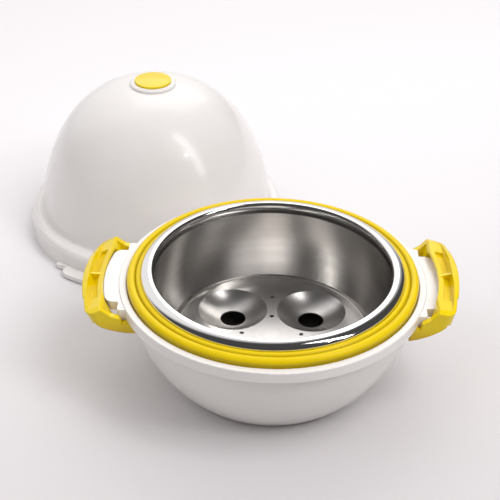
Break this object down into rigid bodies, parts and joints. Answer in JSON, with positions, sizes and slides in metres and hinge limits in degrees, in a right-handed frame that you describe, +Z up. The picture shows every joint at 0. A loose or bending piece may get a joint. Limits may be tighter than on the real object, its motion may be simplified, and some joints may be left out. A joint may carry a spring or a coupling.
{
  "type": "microwave egg cooker",
  "caption": "Round bowl on a flat foot with a metal liner, seal ring, tray with dish-shaped wells and swinging latches, its domed lid taken off and standing beside it.",
  "frame": {"origin": "centre of the bowl's flat foot, on the surface it stands on", "axes": "+X along the line through both latches, towards the right latch; +Y from the bowl away from the camera, towards the side the lid stands on; +Z up"},
  "size_m": [0.2513, 0.3181, 0.0989],
  "materials": {
    "white_shell": "smooth glossy white",
    "yellow_latch": "glossy yellow",
    "yellow_seal": "soft satin yellow",
    "liner_metal": "drawn and polished",
    "pin_steel": "turned"
  },
  "bodies": {
    "bowl_and_lid": {"base_shell": "white_shell", "base_liner": "liner_metal", "seal_ring": "yellow_seal", "tray": "liner_metal", "left_pin_front": "pin_steel", "left_pin_rear": "pin_steel", "right_pin_front": "pin_steel", "right_pin_rear": "pin_steel", "lid_shell": "white_shell", "lid_liner": "liner_metal", "lid_ring": "white_shell", "vent_cap": "yellow_latch", "vent_clip": "white_shell"},
    "left_latch": {"left_latch": "yellow_latch"},
    "right_latch": {"right_latch": "yellow_latch"}
  },
  "joints": [
    {"name": "left_latch_hinge", "type": "hinge", "parent": "bowl_and_lid", "child": "left_latch", "pos_m": [-0.0726, 0, 0.0487], "axis": [0, 1, 0], "range_deg": [0, 26]},
    {"name": "right_latch_hinge", "type": "hinge", "parent": "bowl_and_lid", "child": "right_latch", "pos_m": [0.0726, 0, 0.0487], "axis": [0, -1, 0], "range_deg": [0, 13]}
  ]
}
